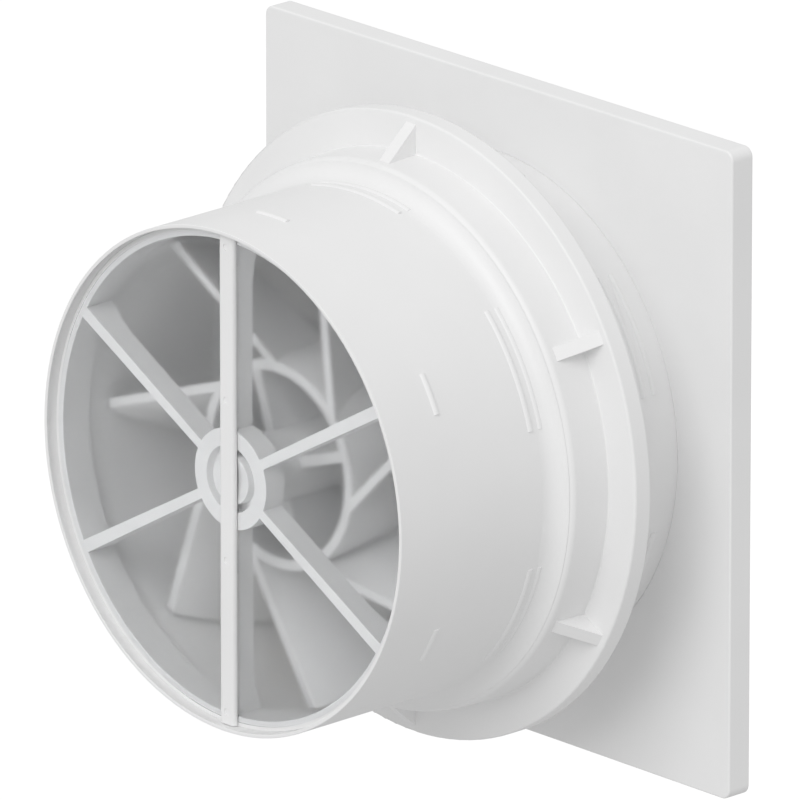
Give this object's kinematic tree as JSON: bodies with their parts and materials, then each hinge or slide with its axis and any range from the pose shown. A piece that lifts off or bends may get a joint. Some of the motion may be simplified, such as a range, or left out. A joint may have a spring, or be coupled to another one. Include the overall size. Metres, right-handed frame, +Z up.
{
  "type": "extractor fan",
  "caption": "Axial bathroom extractor fan with a square louvred front, a round rear duct spigot and a two-wing back-draught damper behind its spoked outlet guard.",
  "frame": {"origin": "on the duct axis, in the plane where the round flange lies against the wall", "axes": "+Y from the room into the duct along the axis, +Z up, +X to the right as seen from the room"},
  "size_m": [0.162, 0.0963, 0.162],
  "materials": {
    "white_plastic": "satin moulded",
    "damper_film": "frosted translucent film",
    "rubber": "matt",
    "spring_steel": "bright",
    "zinc_steel": "zinc plated",
    "rotor_metal": "machined",
    "lamination_steel": "stacked sheet",
    "copper": "bare copper",
    "bronze": "sintered",
    "nylon": "natural",
    "coil_tape": "taped winding",
    "wire_insulation": "insulation"
  },
  "bodies": {
    "housing": {"rear_duct": "white_plastic", "inlet_collar": "white_plastic", "cable_grommet": "rubber", "panel_tray": "white_plastic", "outlet_guard": "white_plastic", "damper_bar": "white_plastic", "damper_strip": "damper_film", "stator_core": "lamination_steel", "shading_rings": "copper", "coil_bobbin": "nylon", "coil_winding": "coil_tape", "room_bearing_bridge": "zinc_steel", "duct_bearing_bridge": "zinc_steel", "room_bush": "bronze", "duct_bush": "bronze", "motor_screws": "zinc_steel", "motor_carrier": "white_plastic", "carrier_screws": "zinc_steel", "terminal_block": "nylon", "terminal_screws": "bronze", "lead_wires": "wire_insulation"},
    "rotor": {"impeller": "white_plastic", "impeller_nut": "zinc_steel", "motor_shaft": "zinc_steel", "rotor_core": "rotor_metal", "thrust_washers": "nylon"},
    "wing_left": {"damper_wing_left": "damper_film"},
    "wing_right": {"damper_wing_right": "damper_film"},
    "grille": {"front_grille": "white_plastic", "grille_clips": "spring_steel"}
  },
  "joints": [
    {"name": "impeller_spin", "type": "hinge", "parent": "housing", "child": "rotor", "pos_m": [0, 0.01, 0], "axis": [0, 1, 0], "continuous": true},
    {"name": "damper_left", "type": "hinge", "parent": "housing", "child": "wing_left", "pos_m": [0.00275, 0.0589, 0], "axis": [0, 0, 1], "range_deg": [0, 80], "stiffness_Nm_per_rad": 0.0004},
    {"name": "damper_right", "type": "hinge", "parent": "housing", "child": "wing_right", "pos_m": [-0.00275, 0.0589, 0], "axis": [0, 0, -1], "range_deg": [0, 80], "stiffness_Nm_per_rad": 0.0004},
    {"name": "grille_pull", "type": "slide", "parent": "housing", "child": "grille", "axis": [0, -1, 0], "range_m": [0, 0.02]}
  ]
}
